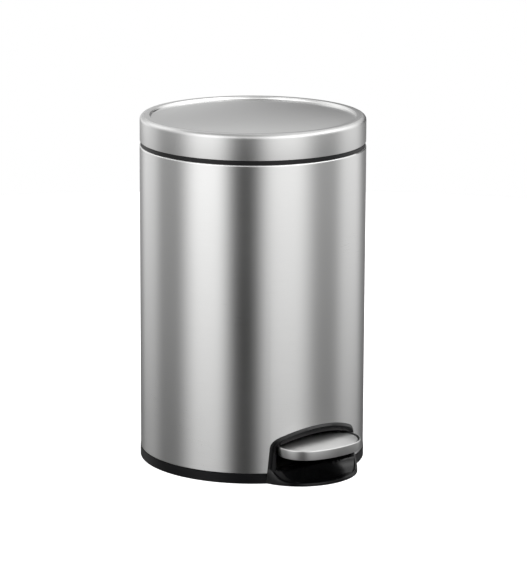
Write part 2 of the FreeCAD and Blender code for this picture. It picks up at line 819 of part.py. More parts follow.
def hinge_screw_bores(name):
    """The four screw holes that go from the plate inside the body through its wall into the housing."""
    start = d.body_radius + d.screw_bite
    return [
        cylinder("%s_screw_bore_%d" % (name, i), d.screw_radius, plain(18), x, start, z, ALONG_MINUS_Y)
        for i, (x, z) in enumerate(hinge_screw_places())
    ]


def hinge_plate():
    """The curved steel plate inside the body that the housing's screws pull against."""
    inner = d.body_radius - d.shell_wall
    half = d.plate_half
    block_z = (d.housing_low + 2, d.notch_low + 8)
    block = box("plate_block", (-half, half), (d.rod_back - 10, d.body_radius), block_z)
    curve = tube("plate_curve", inner - d.plate_thick, inner, d.housing_low, d.notch_low + 20)
    notch_y = (d.rod_back - 12, d.body_radius + 1)
    notch = box("plate_notch", (-d.notch_half, d.notch_half), notch_y, (d.notch_low - 1, d.notch_low + 20))
    return less("hinge_plate", shared("plate_fit", block, curve), notch, *hinge_screw_bores("plate"))


def hinge_screws():
    """Four screws from inside the body through the plate into the housing."""
    items = []
    inner = d.body_radius - d.shell_wall - d.plate_thick
    head_side = hinge_screw_side() + d.screw_head_radius
    seat = root(inner * inner - head_side * head_side)
    end = d.body_radius + d.screw_bite
    for i, (x, z) in enumerate(hinge_screw_places()):
        name = "hinge_screw_%d" % i
        head = cylinder(name + "_head", d.screw_head_radius, d.screw_head, x, seat, z, ALONG_MINUS_Y)
        shank = cylinder(name + "_shank", d.screw_radius, end - seat, x, end, z, ALONG_MINUS_Y)
        items.append(joined(name, head, shank))
    return group("hinge_screws", items)


def hinge_pin():
    """The steel pin that the lid turns on."""
    half = d.housing_half - 0.8
    return hinge_cylinder("hinge_pin", d.pin_radius, -half, half)


def lug(name):
    """The slotted lever on the lid's bracket that the rod lifts. It is drawn along -Y and then tilted."""
    reach = (d.hinge_back - d.rod_back) / cosine(d.lid_angle / 2)
    slot = d.rod_radius + d.rod_slack
    outer = slot + d.lug_wall
    near = d.hinge_back - d.rod_back - slot
    far = reach + 0.4
    arm = prism(name + "_arm", "YZ", [
        (ZERO, -outer),
        (ZERO, outer),
        (-far, outer, outer),
        (-far - outer, ZERO, outer),
        (-far, -outer),
    ], d.lug_near, d.lug_near + d.lug_thick)
    hole = prism(name + "_slot", "YZ", [
        (-near, -slot),
        (-near, slot),
        (-far, slot, slot),
        (-far - slot, ZERO, slot),
        (-far, -slot),
    ], d.lug_near - 1, d.lug_near + d.lug_thick + 1)
    for body in (arm, hole):
        body.Placement.Rotation = FreeCAD.Rotation(FreeCAD.Vector(1, 0, 0), d.lid_angle.value / 2)
        bind(body, "Placement.Rotation.Angle", d.lid_angle / 2)
        put(body, 0, d.hinge_back, d.hinge_height)
    return arm, hole


def lid_bracket():
    """The hinge bracket on the lid: a roof over the housing, an ear at each end and the rod's lug."""
    outer = d.housing_half
    roof = prism("roof_prism", "YZ", [
        (d.lip_radius - 5, d.roof_low),
        (d.housing_back, d.roof_low),
        (d.housing_back, d.roof_high - 3.5, plain(3.5)),
        (d.housing_back - 3.5, d.roof_high),
        (d.lip_radius - 5, d.roof_high),
    ], -outer, outer)
    half = outer - 5
    plate_low = d.liner_plate - d.bracket_thick
    plate = box("bracket_plate", (-half, half), (plain(86), d.lip_radius), (plate_low, d.liner_plate))
    step_y = (d.lip_radius - 5, d.lip_radius - 1)
    step = box("bracket_step", (-half, half), step_y, (d.roof_low, d.liner_plate))
    ears = both_sides(d.ear_inner, outer, lambda name, x: knuckle(
        "ear_" + name, x, d.hinge_height, d.roof_low + 1))
    arm, hole = lug("lug")
    lug_x = (d.lug_near, d.lug_near + d.lug_thick)
    eye_radius = d.knuckle_radius - 1
    neck_y = (d.hinge_back - eye_radius, d.hinge_back + eye_radius)
    neck = box("lug_neck", lug_x, neck_y, (d.hinge_height, d.roof_low + 1))
    eye = hinge_cylinder("lug_eye", eye_radius, *lug_x)
    solid = joined("bracket_solid", roof, plate, step, arm, neck, eye, *ears)
    bore = hinge_cylinder("bracket_bore", d.pin_radius + d.running_gap, -outer - 1, outer + 1)
    holes = [
        cylinder("bracket_hole_%d" % i, d.screw_radius, plain(6), x, y, d.liner_plate - 4)
        for i, (x, y) in enumerate(lid_screw_places())
    ]
    return less("lid_bracket", solid, bore, hole, *holes)


def lid_screw_places():
    side = d.housing_half - 12
    return [(x, y) for y in (plain(92), plain(105)) for x in (-side, side)]


def lid_screws():
    """Four screws that hold the bracket to the lid's liner."""
    seat = d.liner_plate - d.bracket_thick
    return group("lid_screws", [
        screw("lid_screw_%d" % i, x, y, seat, plain(4.6)) for i, (x, y) in enumerate(lid_screw_places())
    ])


# ---- lid ----------------------------------------------------------------------------------------------


def lid_notch(name, low, high):
    half = d.housing_half + 0.6
    return box(name, (-half, half), (d.lip_radius - 8, d.housing_back), (low, high))


def lid_shell():
    """The pressed steel lid: a skirt, a rounded edge, a sloping ring and a sunk flat disc."""
    outer = d.lid_radius
    inner = outer - d.lid_wall
    top = d.lid_top
    wall = d.lid_wall
    edge = d.lid_round
    ring_low = top - d.lid_ring_slope
    disc = top - d.disc_drop
    skin = turned("lid_turned", [
        (ZERO, disc - wall),
        (d.disc_radius - wall, disc - wall),
        (d.lid_ring_inner - wall, ring_low - wall - 0.3),
        (outer - edge, top - wall - 0.2, -(edge - wall - 0.2)),
        (inner, top - edge),
        (inner, d.lid_bottom),
        (outer, d.lid_bottom),
        (outer, top - edge, edge),
        (outer - edge, top),
        (d.lid_ring_inner, ring_low),
        (d.disc_radius, disc),
        (ZERO, disc),
    ])
    return less("lid_shell", skin, lid_notch("lid_shell_notch", d.lid_bottom - 1, d.roof_high + 0.4))


def lid_liner():
    """The black plastic liner of the lid, with a skirt and a lip that drops inside the body's ring."""
    wall = d.liner_wall
    outer = d.liner_radius
    plate = d.liner_plate
    lip_inner = d.lip_radius - wall
    liner = turned("liner_turned", [
        (ZERO, plate),
        (lip_inner, plate),
        (lip_inner, d.lip_low),
        (d.lip_radius, d.lip_low),
        (d.lip_radius, plate),
        (outer - wall, plate),
        (outer - wall, d.lid_bottom + 0.6),
        (outer, d.lid_bottom + 0.6),
        (outer, plate + wall),
        (ZERO, plate + wall),
    ])
    notch = lid_notch("liner_notch", d.lip_low - 1, plate)
    holes = [
        cylinder("liner_hole_%d" % i, d.screw_radius, plain(3), x, y, plate - 0.5)
        for i, (x, y) in enumerate(lid_screw_places())
    ]
    return less("lid_liner", liner, notch, *holes)


def lid_bumpers():
    """Three rubber studs under the liner that the lid lands on."""
    studs = []
    radius = (d.ring_radius + d.collar_radius) / 2
    low = d.ring_top + 0.05
    height = d.lid_bottom + 0.6 - low
    for i, angle in enumerate((-90, -20, 200)):
        x = radius * math.cos(math.radians(angle))
        y = radius * math.sin(math.radians(angle))
        studs.append(cylinder("bumper_%d" % i, plain(1.6), height, x, y, low))
    return group("lid_bumpers", studs)


# ---- bucket -------------------------------------------------------------------------------------------


def inner_bucket():
    """The lift-out plastic bucket. It hangs by its rim and has two upright finger grips."""
    rim_low = d.seat_height + d.rim_gap
    rim_high = rim_low + d.rim_thick
    wall = d.bucket_wall
    tub = turned("bucket_turned", [
        (ZERO, d.bucket_bottom),
        (d.bucket_low_radius - 6, d.bucket_bottom, plain(6)),
        (d.bucket_low_radius, d.bucket_bottom + 6),
        (d.bucket_top_radius, rim_low),
        (d.bucket_rim_radius, rim_low),
        (d.bucket_rim_radius, rim_high),
        (d.bucket_top_radius - wall, rim_high),
        (d.bucket_low_radius - wall, d.bucket_bottom + 8),
        (d.bucket_low_radius - 8, d.bucket_bottom + wall),
        (ZERO, d.bucket_bottom + wall),
    ])
    grip_y = (-d.grip_half, d.grip_half)
    grip_top = rim_high + d.grip_height
    sides = both_sides(d.seat_radius * 0.9, d.lip_radius, lambda name, x: box(
        "grip_block_" + name, x, grip_y, (rim_low, grip_top)))
    band = tube("grip_band", d.bucket_top_radius - wall, d.bucket_top_radius, rim_low - 0.5, grip_top)
    grips = shared("bucket_grips", joined("grip_blocks", *sides), band)
    return joined("inner_bucket", tub, grips)


NODES = [
    body_shell, base_pan, non_slip_ring, top_ring, pedal_housing, housing_screws,
    pedal_cap, pedal_core, pedal_lever, lever_rivets, pedal_hub, lever_shoe, pedal_axle, axle_clips,
    push_rod, rod_clip, rod_foot, hinge_housing, hinge_plate, hinge_screws, hinge_pin,
    lid_bracket, lid_screws, lid_shell, lid_liner, lid_bumpers, inner_bucket,
]


def main():
    nodes = [make() for make in NODES]
    nodes.append(rod_guide("rod_guide_lower", plain(120)))
    nodes.append(rod_guide("rod_guide_upper", plain(290)))
    doc.recompute()
    for item in doc.Objects:
        if "Invalid" in item.State or "Error" in item.State:
            raise RuntimeError("%s did not build: %s" % (item.Name, item.State))
    os.makedirs("parts", exist_ok=True)
    for item in nodes:
        if item.Shape.isNull() or not item.Shape.isValid():
            raise RuntimeError("%s has no valid shape" % item.Name)
        item.Shape.exportStep("parts/%s.step" % item.Label)
        print("%-18s solids %d volume %.0f mm3" % (item.Label, len(item.Shape.Solids), item.Shape.Volume))


main()
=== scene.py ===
"""The looks of the round pedal bin: steel skins, moulded plastics, a soft studio and the camera.

Metres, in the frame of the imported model: +Z is up, the pedal points towards -Y and the hinge is at +Y.
The sizes of the pieces are in millimetres, and become metres as their meshes are made.
"""
import json
import math

import bmesh
import bpy
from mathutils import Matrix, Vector


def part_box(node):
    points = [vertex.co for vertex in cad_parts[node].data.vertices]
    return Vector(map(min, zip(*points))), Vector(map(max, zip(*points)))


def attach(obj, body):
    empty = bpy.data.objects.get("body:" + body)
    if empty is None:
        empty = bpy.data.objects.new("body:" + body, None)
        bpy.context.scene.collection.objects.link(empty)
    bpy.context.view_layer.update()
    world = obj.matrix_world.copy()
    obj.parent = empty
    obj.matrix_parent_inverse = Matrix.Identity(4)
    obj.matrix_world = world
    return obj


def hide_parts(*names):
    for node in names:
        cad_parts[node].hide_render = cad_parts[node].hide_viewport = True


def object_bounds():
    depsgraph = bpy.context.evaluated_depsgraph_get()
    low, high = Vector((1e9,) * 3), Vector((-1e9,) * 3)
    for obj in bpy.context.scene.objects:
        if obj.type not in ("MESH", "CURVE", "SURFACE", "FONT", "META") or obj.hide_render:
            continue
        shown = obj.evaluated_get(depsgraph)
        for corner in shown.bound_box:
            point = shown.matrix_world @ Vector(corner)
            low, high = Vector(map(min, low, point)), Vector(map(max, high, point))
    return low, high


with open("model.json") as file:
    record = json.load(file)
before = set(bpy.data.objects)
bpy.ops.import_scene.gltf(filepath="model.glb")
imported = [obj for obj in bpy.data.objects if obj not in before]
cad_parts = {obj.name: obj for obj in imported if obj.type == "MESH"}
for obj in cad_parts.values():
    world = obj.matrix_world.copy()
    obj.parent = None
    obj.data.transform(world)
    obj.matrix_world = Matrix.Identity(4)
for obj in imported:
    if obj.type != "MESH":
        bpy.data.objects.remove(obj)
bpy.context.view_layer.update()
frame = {"nodes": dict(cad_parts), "record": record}

MM = 0.001
WELD = 1e-6              # points closer than this, in metres, are one
SHARP = math.radians(32)  # an edge is sharp where the surface turns by more than this

# ---- small tools --------------------------------------------------------------------------------------


def in_mm(node):
    """A node's lowest and highest corners in millimetres."""
    low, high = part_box(node)
    return Vector(low) / MM, Vector(high) / MM


def spread(first, last, count):
    """Evenly spaced values with both ends."""
    return [first + (last - first) * step / (count - 1) for step in range(count)]


def bezier(start, control, end, count):
    """Points of a quadratic curve, without its last one."""
    points = []
    for step in range(count):
        part = step / count
        points.append(start.lerp(control, part).lerp(control.lerp(end, part), part))
    return points


ARC_STEPS = 8            # straight sides of a rounded corner
SIDE_SHARE = 0.499       # an arc takes up to this much of each side of its corner


def fillet(before, corner, after, radius):
    """Points of an arc that rounds the corner between two straight sides."""
    to_before = (before - corner).normalized()
    to_after = (after - corner).normalized()
    half = to_before.angle(to_after) / 2
    room = SIDE_SHARE * min((before - corner).length, (after - corner).length)
    reach = min(radius / math.tan(half), room)
    radius = reach * math.tan(half)
    centre = corner + (to_before + to_after).normalized() * (radius / math.sin(half))
    first = corner + to_before * reach - centre
    last = corner + to_after * reach - centre
    turn = first.angle_signed(last)
    points = []
    for step in range(ARC_STEPS + 1):
        angle = -turn * step / ARC_STEPS
        cosine, sine = math.cos(angle), math.sin(angle)
        points.append(centre + Vector((first.x * cosine - first.y * sine, first.x * sine + first.y * cosine)))
    return points


def rounded_path(corners):
    """A closed path through (a, b) corners in millimetres, where a third value rounds the corner."""
    path = []
    for index, corner in enumerate(corners):
        here = Vector(corner[:2])
        if len(corner) == 2:
            path.append(here)
            continue
        before = Vector(corners[index - 1][:2])
        after = Vector(corners[(index + 1) % len(corners)][:2])
        path += fillet(before, here, after, corner[2])
    return path


# ---- pieces -------------------------------------------------------------------------------------------

PIECES = []              # every detailed piece with its slot


def mesh_object(name, mesh_maker):
    """An object in the scene with the mesh that mesh_maker(bm) makes."""
    bm = bmesh.new()
    mesh_maker(bm)
    mesh = bpy.data.meshes.new(name)
    bm.to_mesh(mesh)
    bm.free()
    made = bpy.data.objects.new(name, mesh)
    bpy.context.scene.collection.objects.link(made)
    return made


def new_piece(name, mesh_maker, body, slot):
    """Makes a detailed piece, shades it smooth up to its sharp edges, and rides it on its body."""
    def build(bm):
        mesh_maker(bm)
        bmesh.ops.remove_doubles(bm, verts=bm.verts, dist=WELD)
        bmesh.ops.recalc_face_normals(bm, faces=bm.faces)

    piece = mesh_object(name, build)
    shade(piece.data)
    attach(piece, body)
    PIECES.append((piece, slot))
    return piece


def shade(mesh):
    """Smooth faces, with the sharp edges marked."""
    bm = bmesh.new()
    bm.from_mesh(mesh)
    for face in bm.faces:
        face.smooth = True
    for edge in bm.edges:
        edge.smooth = len(edge.link_faces) == 2 and edge.calc_face_angle() < SHARP
    bm.to_mesh(mesh)
    bm.free()


def apply_modifiers(piece):
    """Swaps a piece's mesh for the one that its modifiers give."""
    graph = bpy.context.evaluated_depsgraph_get()
    mesh = bpy.data.meshes.new_from_object(piece.evaluated_get(graph))
    piece.modifiers.clear()
    piece.data = mesh
    shade(mesh)


AROUND = 288             # segments of a full turn


def lathe(bm, path):
    """Turns a closed path of (radius, height) points in millimetres about Z."""
    turns = [2 * math.pi * k / AROUND for k in range(AROUND)]
    rings = []
    for point in path:
        radius, height = point.x * MM, point.y * MM
        if radius < WELD:
            rings.append([bm.verts.new((0, 0, height))])
            continue
        rings.append([
            bm.verts.new((radius * math.sin(turn), radius * math.cos(turn), height)) for turn in turns
        ])
    for here, following in zip(rings, rings[1:] + rings[:1]):
        if len(here) == 1 and len(following) == 1:
            continue
        for k in range(AROUND):
            corners = [here[k % len(here)], here[(k + 1) % len(here)],
                       following[(k + 1) % len(following)], following[k % len(following)]]
            bm.faces.new(list(dict.fromkeys(corners)))


def loft(bm, sections):
    """Joins closed sections of equal length, given in millimetres, and closes both ends."""
    rings = [[bm.verts.new(point * MM) for point in section] for section in sections]
    count = len(rings[0])
    for here, following in zip(rings, rings[1:]):
        for k in range(count):
            bm.faces.new((here[k], here[(k + 1) % count], following[(k + 1) % count], following[k]))
    bm.faces.new(rings[0])
    bm.faces.new(rings[-1])


def cut_box(piece, x, y, z):
    """Cuts a box, given as three (low, high) pairs in millimetres, out of a piece."""
    def build(bm):
        bmesh.ops.create_cube(bm, size=1)
        for vert in bm.verts:
            part = vert.co + Vector((0.5, 0.5, 0.5))
            vert.co = Vector([low + (high - low) * share for (low, high), share in zip((x, y, z), part)]) * MM

    cutter = mesh_object("cutter", build)
    cut = piece.modifiers.new("cut", "BOOLEAN")
    cut.operation = "DIFFERENCE"
    cut.solver = "EXACT"
    cut.object = cutter
    apply_modifiers(piece)
    bpy.data.objects.remove(cutter)


# ---- node tools ---------------------------------------------------------------------------------------


class Nodes:
    """A short way to write a node tree: add() makes a node and sets its inputs, or links them to sockets."""

    def __init__(self, tree):
        self.tree = tree
        tree.nodes.clear()

    def add(self, kind, inputs=None, **settings):
        node = self.tree.nodes.new(kind)
        for name, value in settings.items():
            setattr(node, name, value)
        for name, value in (inputs or {}).items():
            if isinstance(value, bpy.types.NodeSocket):
                self.tree.links.new(value, node.inputs[name])
            else:
                node.inputs[name].default_value = value
        return node

    def math(self, operation, *values):
        return self.add("ShaderNodeMath", dict(enumerate(values)), operation=operation).outputs[0]

    def place(self):
        """The piece's own coordinates, in metres."""
        return self.add("ShaderNodeTexCoord").outputs["Object"]

    def axes(self):
        """The piece's own coordinates as three numbers, named X, Y and Z."""
        return self.add("ShaderNodeSeparateXYZ", {0: self.place()}).outputs

    def grain(self, coordinates, scale, detail=2.0, rough=0.5):
        """Noise from 0 to 1 at coordinates stretched by a scale along each axis."""
        stretched = self.add("ShaderNodeVectorMath", {0: coordinates, 1: scale}, operation="MULTIPLY")
        noise = self.add("ShaderNodeTexNoise", {
            "Vector": stretched.outputs[0], "Scale": 1.0, "Detail": detail, "Roughness": rough,
        })
        return noise.outputs["Fac"]

    def about(self, value, middle, reach):
        """Maps 0..1 to the numbers up to a reach below and above the middle one."""
        return self.add("ShaderNodeMapRange", {
            "Value": value, "To Min": middle - reach, "To Max": middle + reach,
        }).outputs["Result"]

    def ramp(self, value, start, end, low, high):
        """A smooth change from low to high as the value goes from start to end."""
        return self.add("ShaderNodeMapRange", {
            "Value": value, "From Min": start, "From Max": end, "To Min": low, "To Max": high,
        }, interpolation_type="SMOOTHSTEP").outputs["Result"]

    def tint(self, value, dark, light):
        """A colour between dark and light."""
        mix = self.add("ShaderNodeMix", {0: value, 6: (*dark, 1), 7: (*light, 1)}, data_type="RGBA")
        return mix.outputs[2]

    def bump(self, height, strength, depth):
        """A normal for a surface with that height map, which is up to a depth in metres deep."""
        return self.add("ShaderNodeBump", {
            "Height": height, "Strength": strength, "Distance": depth,
        }).outputs["Normal"]

    def finish(self, kind, inputs):
        """Ends the tree with a shader."""
        shader = self.add(kind, inputs)
        self.add("ShaderNodeOutputMaterial", {"Surface": shader.outputs[0]})


def material(name):
    """An empty material and its nodes."""
    made = bpy.data.materials.new(name)
    made.use_nodes = True
    return made, Nodes(made.node_tree)


# ---- materials ----------------------------------------------------------------------------------------
# Scales of noise are per metre. Every roughness is given as a middle value, which noise moves up and down.

STEEL_DARK = (0.60, 0.60, 0.595)
STEEL_LIGHT = (0.66, 0.66, 0.655)
TURNED_GRAIN = (40, 40, 5200)     # noise scales along X, Y and Z of streaks that run round the bin
STRAIGHT_GRAIN = (60, 5200, 5200)  # and of streaks along X
BROADER = 12             # how many times broader the second streaks are
SHALLOWER = 0.4          # and how deep they are as a share of the first
SMUDGES = (9, 9, 7)
STREAK_ROUGHNESS = 0.05
SMUDGE_ROUGHNESS = 0.03
STREAK_BUMP = (0.08, 0.00005)     # strength and depth
QUARTER_TURN = 0.25


def brushed_steel(name, streaks, roughness, anisotropy=0.0, painted_shade=0.0):
    """Brushed stainless steel. Anisotropy is for a skin turned about Z; the last argument darkens the colour,
    a painted shade that dims the part's reflections.
    """
    made, nodes = material(name)
    place = nodes.place()
    fine = nodes.grain(place, streaks, 3.0, 0.6)
    broad = nodes.grain(place, tuple(scale / BROADER for scale in streaks))
    smudge = nodes.grain(place, SMUDGES, 3.0)
    # Both colours are darkened by the painted shade.
    dark, light = ([(1 - painted_shade) * value for value in colour] for colour in (STEEL_DARK, STEEL_LIGHT))
    rough = nodes.math("ADD", nodes.about(fine, roughness, STREAK_ROUGHNESS),
                       nodes.about(smudge, 0, SMUDGE_ROUGHNESS))
    height = nodes.math("ADD", fine, nodes.math("MULTIPLY", broad, SHALLOWER))
    inputs = {
        "Base Color": nodes.tint(fine, dark, light), "Metallic": 1.0, "Roughness": rough,
        "Normal": nodes.bump(height, *STREAK_BUMP),
    }
    if anisotropy:
        tangent = nodes.add("ShaderNodeTangent", direction_type="RADIAL", axis="Z").outputs[0]
        inputs.update({
            "Anisotropic": anisotropy, "Anisotropic Rotation": QUARTER_TURN, "Tangent": tangent,
        })
    nodes.finish("ShaderNodeBsdfPrincipled", inputs)
    return made


ERODED = (2600, 2600, 2600)
CLOUDS = (35, 35, 35)
ERODED_ROUGHNESS = 0.06
CLOUD_ROUGHNESS = 0.04
ERODED_BUMP = (0.35, 0.00002)     # strength and depth


def moulded_plastic(name, dark, light, roughness, specular=0.5):
    """Moulded plastic or rubber with a fine eroded texture."""
    made, nodes = material(name)
    place = nodes.place()
    fine = nodes.grain(place, ERODED, 2.0, 0.6)
    cloud = nodes.grain(place, CLOUDS, 3.0)
    rough = nodes.math("ADD", nodes.about(fine, roughness, ERODED_ROUGHNESS),
                       nodes.about(cloud, 0, CLOUD_ROUGHNESS))
    nodes.finish("ShaderNodeBsdfPrincipled", {
        "Base Color": nodes.tint(cloud, dark, light), "Roughness": rough, "Specular IOR Level": specular,
        "Normal": nodes.bump(fine, *ERODED_BUMP),
    })
    return made


SPANGLE = (420, 420, 420)
SPANGLE_ROUGHNESS = 0.08
SPANGLE_BUMP = (0.1, 0.00004)     # strength and depth


def plated_metal(name, dark, light, roughness):
    """Zinc plated or cold drawn steel."""
    made, nodes = material(name)
    spangle = nodes.grain(nodes.place(), SPANGLE, 3.0)
    nodes.finish("ShaderNodeBsdfPrincipled", {
        "Base Color": nodes.tint(spangle, dark, light), "Metallic": 1.0,
        "Roughness": nodes.about(spangle, roughness, SPANGLE_ROUGHNESS),
        "Normal": nodes.bump(spangle, *SPANGLE_BUMP),
    })
    return made


MATERIALS = {
    "body_steel": brushed_steel("body_brushed", TURNED_GRAIN, 0.30, anisotropy=0.85),
    # The lid's and the pedal's steel are darkened copies of the same steel: painted shade that dims their
    # reflections.
    "lid_steel": brushed_steel("lid_brushed", TURNED_GRAIN, 0.36, anisotropy=0.7, painted_shade=0.14),
    "pedal_steel": brushed_steel("pedal_brushed", STRAIGHT_GRAIN, 0.38, painted_shade=0.12),
    "base_plastic": moulded_plastic(
        "base_black", (0.002, 0.002, 0.0025), (0.0035, 0.0035, 0.004), 0.34, specular=0.20),
    "housing_plastic": moulded_plastic(
        "housing_black", (0.0015, 0.0015, 0.0015), (0.0025, 0.0025, 0.003), 0.24, specular=0.28),
    "ring_plastic": moulded_plastic(
        "ring_black", (0.003, 0.003, 0.003), (0.005, 0.005, 0.0055), 0.42, specular=0.25),
    "hinge_plastic": moulded_plastic("hinge_black", (0.004, 0.004, 0.0045), (0.007, 0.007, 0.0075), 0.40),
    "liner_plastic": moulded_plastic("liner_black", (0.010, 0.010, 0.011), (0.016, 0.016, 0.017), 0.5),
    "core_plastic": moulded_plastic("core_black", (0.004, 0.004, 0.004), (0.007, 0.007, 0.0075), 0.5),
    "bucket_plastic": moulded_plastic("bucket_black", (0.014, 0.014, 0.015), (0.022, 0.022, 0.023), 0.5),
    "rubber": moulded_plastic(
        "soft_rubber", (0.010, 0.010, 0.010), (0.016, 0.016, 0.016), 0.75, specular=0.3),
    "zinc_steel": plated_metal("zinc_plated", (0.52, 0.53, 0.55), (0.66, 0.67, 0.69), 0.34),
    "nylon": moulded_plastic("natural_nylon", (0.62, 0.60, 0.54), (0.70, 0.68, 0.62), 0.45),
}
# The lid top's steel is darkened a little too, as painted shade that dims its reflections.
LID_TOP = brushed_steel("lid_top_satin", STRAIGHT_GRAIN, 0.16, painted_shade=0.04)


def dress(piece, slot):
    """Gives a piece its slot's material and no other."""
    piece.data.materials.clear()
    piece.data.materials.append(MATERIALS[slot])


# ---- lid ----------------------------------------------------------------------------------------------

LID_WALL = 0.7
LID_EDGE = 5.0           # radius of the lid's rounded edge
LID_RING = 11.0          # how far in the flat ring round the sunk disc reaches
LID_STEP = 0.9           # width of the step from the ring down to the disc
STEP_FOOT = 0.8          # radius at the step's foot
STEP_HEAD = 0.7          # radius at the step's head
LID_HEM = 0.3            # radius of the skirt's lower edges
UNDER_STEP = 1.0         # radius of the step's corners on the underside
DISC_DROP = 2.5
DISC_CROWN = 2.2
CROWN_STEPS = 12
DISC_MARGIN = 1          # how far under the disc's rim the lid's top finish reaches
NOTCH_GAP = 0.6          # space beside the bracket in the lid's notch
NOTCH_DEPTH = 14         # how far in from the outside the notch reaches
NOTCH_ROOF = 0.4         # how far the notch ends below the bracket's top
CUTTER_REACH = 10        # how far the cutter sticks out of the lid


def lid_profile(low, high):
    """Half section of the lid as (radius, height) points: crowned disc, step, ring, edge and skirt."""
    outer, top, bottom = high.x, high.z, low.z
    ring_inner = outer - LID_RING
    disc_radius = ring_inner - LID_STEP
    disc = top - DISC_DROP
    shares = [step / CROWN_STEPS for step in range(CROWN_STEPS)]
    crown = [(disc_radius * share, disc + DISC_CROWN * (1 - share ** 2)) for share in shares]
    return crown + [
        (disc_radius, disc, STEP_FOOT),
        (ring_inner, top, STEP_HEAD),
        (outer, top, LID_EDGE),
        (outer, bottom, LID_HEM),
        (outer - LID_WALL, bottom, LID_HEM),
        (outer - LID_WALL, top - LID_WALL, LID_EDGE - LID_WALL),
        (ring_inner - LID_WALL, top - LID_WALL, UNDER_STEP),
        (disc_radius - LID_WALL, disc - LID_WALL, UNDER_STEP),
        (0, disc - LID_WALL),
    ]


def make_lid():
    """The steel lid, with the notch that the hinge's bracket leaves through."""
    low, high = in_mm("lid_shell")
    path = rounded_path(lid_profile(low, high))
    lid = new_piece("lid_pressing", lambda bm: lathe(bm, path), "lid", "lid_steel")
    bracket = in_mm("lid_bracket")[1]
    half = bracket.x + NOTCH_GAP
    cut_box(lid, (-half, half), (high.x - NOTCH_DEPTH, high.x + CUTTER_REACH),
            (low.z - CUTTER_REACH, bracket.z - NOTCH_ROOF))
    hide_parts("lid_shell")
    return lid


def finish_lid_top(lid):
    """Gives the ring and the sunk disc a finer, straight-grained satin than the turned skirt."""
    high = in_mm("lid_shell")[1]
    lowest = high.z - DISC_DROP - DISC_MARGIN
    lid.data.materials.append(LID_TOP)
    for face in lid.data.polygons:
        centre = face.center / MM
        if centre.xy.length < high.x - LID_EDGE and centre.z > lowest:
            face.material_index = 1


# ---- hinge --------------------------------------------------------------------------------------------

HINGE_ROUND = 1.0        # radius on the edges of the hinge's mouldings
HINGE_ROUND_STEPS = 3
ROUNDED_TURN = math.radians(50)   # edges where the surface turns by more than this are rounded
FLAT_TURN = math.radians(0.5)     # faces that differ by less than this are one
CAD_WELD = 0.02          # corners of CAD triangles closer than this are one


def make_softened(name, node, body, slot):
    """A copy of a CAD node whose sharp edges are rounded over as a moulding's are."""
    source = frame["nodes"][node].data

    def build(bm):
        bm.from_mesh(source)
        bmesh.ops.remove_doubles(bm, verts=bm.verts, dist=CAD_WELD * MM)
        bmesh.ops.dissolve_limit(bm, angle_limit=FLAT_TURN, verts=bm.verts, edges=bm.edges)

    piece = new_piece(name, build, body, slot)
    bevel = piece.modifiers.new("round", "BEVEL")
    bevel.width = HINGE_ROUND * MM
    bevel.segments = HINGE_ROUND_STEPS
    bevel.limit_method = "ANGLE"
    bevel.angle_limit = ROUNDED_TURN
    apply_modifiers(piece)
    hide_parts(node)


# ---- outline of the foot and the pedal ----------------------------------------------------------------


class RoundFront:
    """An outline from above of a front arc and two equal corner arcs that flow into each other.

    It reaches forward to the front, and to the half width on both sides. A point on it is found by the
    direction it faces: 0 degrees is +X and 90 degrees is straight ahead.
    """

    def __init__(self, front, half, front_radius, corner_radius):
        self.front_radius, self.corner_radius = front_radius, corner_radius
        self.centre = Vector((0, front - front_radius))
        self.side_x = half - corner_radius
        reach = math.sqrt((front_radius - corner_radius) ** 2 - self.side_x ** 2)
        self.side_forward = front - front_radius + reach
        self.turn = math.atan2(reach, self.side_x)

    def point(self, angle, inset=0.0):
        """(x, forward) of the outline drawn in by the inset, at a facing angle in radians."""
        facing = Vector((math.cos(angle), math.sin(angle)))
        if self.turn < angle < math.pi - self.turn:
            return self.centre + facing * (self.front_radius - inset)
        side = self.side_x if angle <= self.turn else -self.side_x
        return Vector((side, self.side_forward)) + facing * (self.corner_radius - inset)


# ---- surround of the pedal ----------------------------------------------------------------------------

SURROUND_HALF = 61.2     # half width at the floor
SURROUND_SHOULDER = 57.8  # half width at the shoulders
SHOULDER_HEIGHT = 40
SHOULDER_CORNER = 10     # how far in from the shoulder the arch starts
SLOT_HALF = 51.6
SLOT_SHOULDER_DROP = 1   # how far the slot's shoulder lies below the surround's
SLOT_CORNER = 5.2
SLOT_TOP_MARGIN = 8.8    # width of the surround above the slot
ARCH_RADIUS = 125
SIDE_POINTS = 15
CORNER_POINTS = 12
ARCH_POINTS = 49
BEVEL_WIDTH = 3.0
FACE_PROUD = 2.3         # how far the ridge between bevel and face stands off the body
EDGE_PROUD = 0.3
SLOT_PROUD = 1.1         # the face slopes in to this at the slot's edge
BACK_PROUD = 0.15
BACK_INSET = 2.9         # how far in from the edge the wall inside the body starts
WALL_END = -4            # stand-off at the walls' inner ends, inside the body
# Points of the surround's section as (distance inwards, stand-off from the body): from its edge over the
# bevel to the ridge, then from the face round the slot's edge into the slot, and last the back.
BEVEL_SECTION = [
    (0, BACK_PROUD), (0, EDGE_PROUD - 0.2), (0.25, EDGE_PROUD),
    (BEVEL_WIDTH - 0.3, FACE_PROUD - 0.08), (BEVEL_WIDTH + 0.3, FACE_PROUD - 0.02),
]
SLOT_SECTION = [(-0.8, SLOT_PROUD), (-0.2, SLOT_PROUD - 0.2), (0, SLOT_PROUD - 0.7), (0, WALL_END)]
BACK_SECTION = [(BACK_INSET, WALL_END), (BACK_INSET, BACK_PROUD)]


